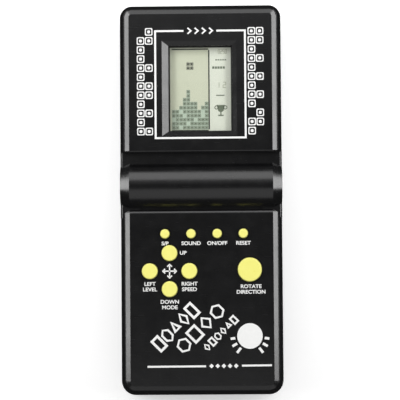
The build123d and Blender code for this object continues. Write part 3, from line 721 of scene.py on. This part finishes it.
# The score and the level, each with its first digit's place, the digits' pitch, their size and their line
for name, digits, first, drop, pitch, width, height, line in (
    ("display_score", "0250", 0.0036, 0.0022, 0.0011, 0.0007, 0.0020, 0.00018),
    ("display_level", "12", 0.0026, 0.0185, 0.0032, 0.0013, 0.0026, 0.00026),
):
    strokes = []
    for place, number in enumerate(digits):
        strokes += digit(number, score_left + first + place * pitch, field_top - drop, width, height, line)
    etched(name, strokes, [], segment_faint)

# Two rows of five small marks, and a dash below the level
dashes = []
for first, pitch, drop, width, height in (
    (0.0012, 0.00125, 0.0089, 0.0010, 0.0011),
    (0.0026, 0.0011, 0.0052, 0.0008, 0.0006),
):
    for place in range(5):
        dash_centre = (score_left + first + place * pitch, field_top - drop)
        dashes.append(rounded_corners(dash_centre, width, height, 0))
dashes.append(rounded_corners((score_middle, field_top - 0.0222), 0.0040, 0.0005, 0))
etched("display_marks", dashes, [], segment_grey)

# A small trophy cup under the dash
cup_x, cup_y = score_middle + 0.0002, field_top - 0.0290
cup = [
    [(cup_x - 0.0019, cup_y + 0.0022), (cup_x - 0.0013, cup_y - 0.0006), (cup_x - 0.0004, cup_y - 0.0012),
     (cup_x + 0.0004, cup_y - 0.0012), (cup_x + 0.0013, cup_y - 0.0006), (cup_x + 0.0019, cup_y + 0.0022)],
    rounded_corners((cup_x, cup_y - 0.0019), 0.0006, 0.0014, 0),
    rounded_corners((cup_x, cup_y - 0.0028), 0.0026, 0.0006, 0),
]
handle_centres = [(cup_x + side * 0.0021, cup_y + 0.0010) for side in (-1, 1)]
handles = [(disc(centre, 0.0010, 16), disc(centre, 0.0006, 16)) for centre in handle_centres]
etched("display_cup", cup, handles, segment_grey)

# Black ring round the picture, under the window's edge: painted shade, a dark sheet for the shade that the
# opening's wall casts along the picture's edges
shade_ring_z = (film_high.z + window_low.z) / 2
shade_ring_reach = 0.0010
shade_ring_width, shade_ring_height = film_high.x - film_low.x + shade_ring_reach, film_high.y - film_low.y + shade_ring_reach
shade_ring_outer = rounded_corners((screen.x, screen.y), shade_ring_width, shade_ring_height, 0)
shade_ring_inner = rounded_corners((screen.x, screen.y), view_width, view_height, 0)
# The ring's black ink is painted shade
shade_ring_ink = display_ink("shade_ring_ink", (0.006, 0.006, 0.006, 1.0), (0.012, 0.012, 0.012, 1.0), 0.5)
printed("display_shade_ring", [], [(shade_ring_outer, shade_ring_inner)], shade_ring_z, shade_ring_z + segment, shade_ring_ink)


# ---- Printing on the front shell ---------------------------------------------------------------------
# White ink, pad-printed on the head and on the key panel: a frame round the display, columns of framed
# cells beside it, the keys' names, and plain ornaments below them. It is slightly matt and a little worn.

def white_ink():
    """White ink, greyer where it has worn thin."""
    finish = Finish("white_ink")
    worn = finish.noise(900.0, detail=4.0, roughness=0.7)
    colour = finish.mix(worn * 0.35, (0.93, 0.93, 0.92, 1.0), (0.62, 0.62, 0.61, 1.0))
    return finish.surface(colour, 0.5 + (worn - 0.5) * 0.2)


ink = white_ink()
film_thickness = 0.00003
head_face = 0.027  # height of the head's flat face
panel_face = 0.025  # height of the key panel's flat face


def inked(name, outlines, rings, face):
    """White printing on a face at that height."""
    printed(name, outlines, rings, face, face + film_thickness, ink)


frame_line = 0.0009
frame_left, frame_right, frame_low, frame_high = -0.0213, 0.0213, 0.0290, 0.0799
gap_left, gap_right = -0.0078, 0.0078
frame_path = [
    (gap_left, frame_high), (frame_left, frame_high), (frame_left, frame_low),
    (frame_right, frame_low), (frame_right, frame_high), (gap_right, frame_high),
]
inked("frame_line", [stroke(frame_path, frame_line)], [], head_face)

# Four little chevrons in the frame's gap
chevron_depth, chevron_rise = 0.0008, 0.0014
chevrons = []
for place in range(4):
    x = (place - 1.5) * 0.0034
    back, tip = x - chevron_depth, x + chevron_depth
    path = [(back, frame_high - chevron_rise), (tip, frame_high), (back, frame_high + chevron_rise)]
    chevrons.append(stroke(path, 0.0007))
inked("frame_chevrons", chevrons, [], head_face)

left_columns = ["01", "11", "10", "10", "11", "10", "11", "11", "10", "11", "10", "11"]
right_columns = ["11", "11", "10", "11", "10", "11", "10", "11", "10", "01", "11", "10"]
column_inner, column_outer, print_pitch, first_row = 0.02435, 0.02825, 0.00431, 0.0796
squares = []
for row, (left, right) in enumerate(zip(left_columns, right_columns)):
    y = first_row - row * print_pitch
    for mark, x in zip(left + right, (-column_outer, -column_inner, column_inner, column_outer)):
        if mark == "1":
            squares.append((x, y, head_face))
cells("framed_cell_columns", squares, 0.0036, 0.00048, 0.0006, 0.0014, 0.0005, film_thickness, ink)


def caption(name, words, centre, height):
    """A key's name in plain capitals, as thick as the ink."""
    data = bpy.data.curves.new(name + "_letters", "FONT")
    data.body = words
    data.size = height / 0.7
    data.align_x = "CENTER"
    data.align_y = "CENTER"
    data.extrude = film_thickness / 2
    data.offset = height * 0.035
    letters = bpy.data.objects.new(name + "_letters", data)
    bpy.context.scene.collection.objects.link(letters)
    letters.scale = (1.08, 1.0, 1.0)
    letters.location = (centre[0], centre[1], panel_face + film_thickness / 2)
    bpy.context.view_layer.update()
    evaluated = letters.evaluated_get(bpy.context.evaluated_depsgraph_get())
    mesh = bpy.data.meshes.new_from_object(evaluated)
    mesh.transform(letters.matrix_world)
    bpy.data.objects.remove(letters)
    mesh.materials.clear()
    mesh.materials.append(ink)
    piece = bpy.data.objects.new(name, mesh)
    bpy.context.scene.collection.objects.link(piece)
    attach(piece, "case")


def key_centre(name):
    """Middle of a key's box."""
    low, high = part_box("key_" + name)
    return (low + high) / 2


small_letters, line_step = 0.0017, 0.0026
function_drop, direction_drop = 0.0046, 0.0061
for key, words in (("start", "S/P"), ("sound", "SOUND"), ("power", "ON/OFF"), ("reset", "RESET")):
    middle = key_centre(key)
    caption("caption_" + key, words, (middle.x, middle.y - function_drop), small_letters)
up, down, left, right, rotate = [key_centre(key) for key in ("up", "down", "left", "right", "rotate")]
caption("caption_up", "UP", (up.x + 0.0064, up.y), small_letters)
for key, middle, first, second in (
    ("left", left, "LEFT", "LEVEL"),
    ("right", right, "RIGHT", "SPEED"),
    ("down", down, "DOWN", "MODE"),
):
    first_line = middle.y - direction_drop
    caption(f"caption_{key}_first", first, (middle.x, first_line), small_letters)
    caption(f"caption_{key}_second", second, (middle.x, first_line - line_step), small_letters)
caption("caption_rotate_first", "ROTATE", (rotate.x + 0.0005, rotate.y - 0.0080), small_letters)
caption("caption_rotate_second", "DIRECTION", (rotate.x + 0.0005, rotate.y - 0.0106), small_letters)

# Four arrows that meet between the direction keys
arrow_centre = Vector(((left.x + right.x) / 2, (up.y + down.y) / 2))
arrow_reach, arrow_head, arrow_line = 0.0032, 0.0011, 0.0006
arrows = []
for heading in (Vector((1, 0)), Vector((0, 1)), Vector((-1, 0)), Vector((0, -1))):
    across = Vector((-heading.y, heading.x))
    tip = arrow_centre + heading * arrow_reach
    arrows.append(stroke([arrow_centre + heading * arrow_line / 2, tip - heading * 0.0003], arrow_line))
    barbs = [tip - (heading - across) * arrow_head, tip, tip - (heading + across) * arrow_head]
    arrows.append(stroke(barbs, arrow_line))
inked("four_arrows", arrows, [], panel_face)

# Three slanting rows of outlined squares, triangles, hexagons and diamonds
slant = math.radians(45)
along = Vector((math.cos(slant), math.sin(slant)))
upright = Vector((-along.y, along.x))


def outlined(centre, sides, turn, width, height, line):
    """Outer and inner outline of a regular shape, fitted to a width and a height on the slant."""
    angles = [math.radians(turn) + 2 * math.pi * corner / sides for corner in range(sides)]
    corners = [(math.cos(angle), math.sin(angle)) for angle in angles]
    reach_x = max(abs(x) for x, _ in corners)
    reach_y = max(abs(y) for _, y in corners)
    shrink = 2 * line / math.cos(math.pi / sides)

    def corner_at(x, y, less):
        aside = along * (x / reach_x * (width - less) / 2)
        raised = upright * (y / reach_y * (height - less) / 2)
        return tuple(Vector(centre) + aside + raised)

    return tuple([corner_at(x, y, less) for x, y in corners] for less in (0.0, shrink))


# Each shape is its number of sides and the angle of its first corner
square, triangle, hexagon, diamond = (4, 45), (3, 90), (6, 30), (4, 0)
# Each row's first centre, pitch, width, height, line and shapes
ornaments = []
for first, pitch, width, height, line, shapes in (
    ((-0.0203, -0.0681), 0.0055, 0.0048, 0.0074, 0.00082, (square, hexagon, triangle, diamond, square)),
    ((-0.0086, -0.0688), 0.0074, 0.0062, 0.0074, 0.00082, (hexagon, square, diamond, hexagon)),
    (
        (0.0023, -0.0698), 0.0036, 0.0030, 0.0042, 0.00060,
        (diamond, square, hexagon, diamond, triangle, square),
    ),
):
    for place, (sides, turn) in enumerate(shapes):
        centre = Vector(first) + along * pitch * place
        ornaments.append(outlined(centre, sides, turn, width, height, line))
inked("slanting_ornament", [], ornaments, panel_face)

# A white ball with strokes that show it bouncing
ball = Vector((0.0225, -0.0647))
ball_radius, stroke_start = 0.0060, 0.0010
first_turn, turn_step = 38, 22
inked("ball", [disc(ball, ball_radius, 64)], [], panel_face)
bounce = []
for side in (-1, 1):
    for step in range(3):
        turn = math.radians(-90 + side * (first_turn + step * turn_step))
        out = Vector((math.cos(turn), math.sin(turn)))
        start = ball_radius + stroke_start
        reach = 0.0030 - 0.0004 * step
        bounce.append(stroke([ball + out * start, ball + out * (start + reach)], 0.0012))
inked("ball_strokes", bounce, [], panel_face)

# Base line with five small diamonds in its gap
base_y = -0.0787
diamond_first, diamond_pitch, diamond_radius = 0.0043, 0.0029, 0.0011
base_lines = [
    stroke([(-0.0259, base_y - 0.0002), (0.0017, base_y - 0.0001)], frame_line),
    stroke([(0.0186, base_y + 0.0001), (0.0327, base_y + 0.0002)], frame_line),
]
for place in range(5):
    base_lines.append(disc((diamond_first + place * diamond_pitch, base_y), diamond_radius, 4))
inked("base_line", base_lines, [], panel_face)


# ---- Keys --------------------------------------------------------------------------------------------
# Nine round caps moulded in yellow ABS. Each has a flange that keeps it under the panel, and its rounded
# edge catches the light. Fingers have polished the tops.

def yellow_abs(name):
    """Moulded yellow ABS, smoother where fingers have polished it."""
    finish = Finish(name)
    patches = finish.noise(240.0, detail=4.0)
    grain = finish.noise(3000.0, detail=2.0)
    colour = finish.mix(patches * 0.8, (0.88, 0.84, 0.20, 1.0), (0.93, 0.90, 0.27, 1.0))
    roughness = 0.30 + (patches - 0.5) * 0.14
    return finish.surface(colour, roughness, Normal=finish.bump(grain, 0.000005))


key_names = [name for name in nodes if name.startswith("key_")]
dress(yellow_abs("yellow_abs"), *key_names)


# ---- Screws ------------------------------------------------------------------------------------------
# Cross-recessed, zinc-plated self-tapping screws: six draw the two shells together from the back, and
# eight hold the board to the front shell's posts.

zinc = metal("zinc_plate", (0.60, 0.60, 0.58, 1.0), (0.42, 0.41, 0.38, 1.0), 0.34, 500.0)
dress(zinc, "case_screws", "board_screws")


# ---- Floor, lights and camera ------------------------------------------------------------------------
# A white table with a weak glow, two long softboxes beside the screen end, a third beyond it, and a weak
# sheet over each end. The camera looks almost straight down, from a little towards the key end.

def studio_floor(side, depth):
    """A square white table top that glows weakly and stays out of reflections."""
    mesh = bpy.data.meshes.new("table_top")
    half = side / 2
    corners = [(-half, -half, depth), (half, -half, depth), (half, half, depth), (-half, half, depth)]
    mesh.from_pydata(corners, [], [(0, 1, 2, 3)])
    table = bpy.data.objects.new("table_top", mesh)
    bpy.context.scene.collection.objects.link(table)
    finish = Finish("white_table")
    paper = finish.noise(30.0, detail=2.0)
    white = finish.mix(paper * 0.2, (0.93, 0.93, 0.93, 1.0), (0.90, 0.90, 0.90, 1.0))
    mesh.materials.append(finish.surface(white, 0.85, Emission_Color=white, Emission_Strength=0.36))
    table.visible_glossy = False


def softbox(name, place, target, width, height, radiance):
    """A rectangular light of an even radiance, turned towards target."""
    data = bpy.data.lights.new(name, "AREA")
    data.shape = "RECTANGLE"
    data.size = width
    data.size_y = height
    data.energy = radiance * math.pi * width * height
    lamp = bpy.data.objects.new(name, data)
    lamp.location = place
    lamp.rotation_euler = (Vector(target) - Vector(place)).to_track_quat("-Z", "Y").to_euler()
    bpy.context.scene.collection.objects.link(lamp)


studio_floor(3.0, -0.0004)
aim = (0.0, 0.0, 0.02)
for side, label in ((-1, "softbox_left"), (1, "softbox_right")):
    softbox(label, (side * 0.49, 0.33, 0.46), (0.0, 0.33, 0.02), 0.94, 0.19, 6.5)
softbox("softbox_screen_end", (0.0, 0.49, 0.50), aim, 0.90, 0.44, 1.75)
softbox("sheet_screen_end", (0.0, 0.26, 0.72), aim, 0.70, 0.24, 0.19)
softbox("sheet_key_end", (0.0, -0.42, 0.62), aim, 0.90, 0.60, 0.50)

world = bpy.data.worlds.new("room")
world.use_nodes = True
world.node_tree.nodes["Background"].inputs["Color"].default_value = (1.0, 1.0, 1.0, 1.0)
world.node_tree.nodes["Background"].inputs["Strength"].default_value = 0.055
bpy.context.scene.world = world
bpy.context.scene.view_settings.view_transform = "Standard"

lens = bpy.data.cameras.new("camera")
lens.lens = 131.0
lens.sensor_width = 36.0
camera = bpy.data.objects.new("camera", lens)
bpy.context.scene.collection.objects.link(camera)
bpy.context.scene.camera = camera
view_tilt = math.radians(2.4)
view_roll = math.radians(-0.42)
view_lean = math.radians(1.0)
view_distance = 0.70
view_target = Vector((-0.0010, 0.0, 0.014))
view_heading = Vector((math.sin(view_lean), -math.sin(view_tilt), math.cos(view_tilt)))
camera.location = view_target + view_heading * view_distance
camera.rotation_euler = (view_tilt, view_lean, view_roll)
